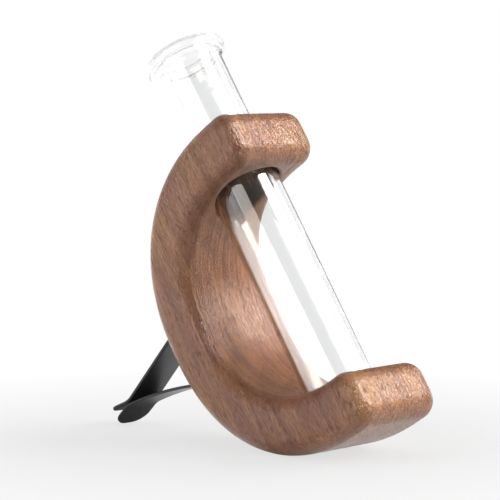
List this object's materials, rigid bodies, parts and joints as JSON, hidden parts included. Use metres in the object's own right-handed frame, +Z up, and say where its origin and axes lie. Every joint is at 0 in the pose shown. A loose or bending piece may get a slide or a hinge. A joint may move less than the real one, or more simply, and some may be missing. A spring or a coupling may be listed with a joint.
{
  "type": "dashboard vase",
  "caption": "Clip-on single-stem vase: a rounded C-shaped walnut holder carries a clear glass test tube, with a black spring clip on its back for an air vent.",
  "frame": {"origin": "middle of the footprint, on the surface that the vase stands on", "axes": "+X across the holder, square to its flat side faces; +Y back, towards the clip, with the open front towards -Y; +Z up. The vase leans back on its clip's tip, so the tube's own direction is (0, 0.543, 0.840)."},
  "size_m": [0.027, 0.086, 0.0933],
  "materials": {
    "walnut": "satin oiled",
    "clear_glass": "clear, polished",
    "black_spring_steel": "satin black",
    "screw_steel": "black oxide"
  },
  "bodies": {
    "holder": {"walnut_holder": "walnut", "clip_base": "black_spring_steel", "clip_screw": "screw_steel"},
    "tube": {"glass_tube": "clear_glass"},
    "upper_leaf": {"clip_upper_leaf": "black_spring_steel"},
    "lower_leaf": {"clip_lower_leaf": "black_spring_steel"}
  },
  "joints": [
    {"name": "tube_lift", "type": "slide", "parent": "holder", "child": "tube", "axis": [0, 0.5427, 0.8399], "range_m": [0, 0.08]},
    {"name": "upper_leaf_flex", "type": "hinge", "parent": "holder", "child": "upper_leaf", "pos_m": [0, 0.01931, 0.02525], "axis": [1, 0, 0], "range_deg": [0, 8], "stiffness_Nm_per_rad": 1},
    {"name": "lower_leaf_flex", "type": "hinge", "parent": "holder", "child": "lower_leaf", "pos_m": [0, 0.01125, 0.01251], "axis": [-1, 0, 0], "range_deg": [0, 8], "stiffness_Nm_per_rad": 1}
  ]
}
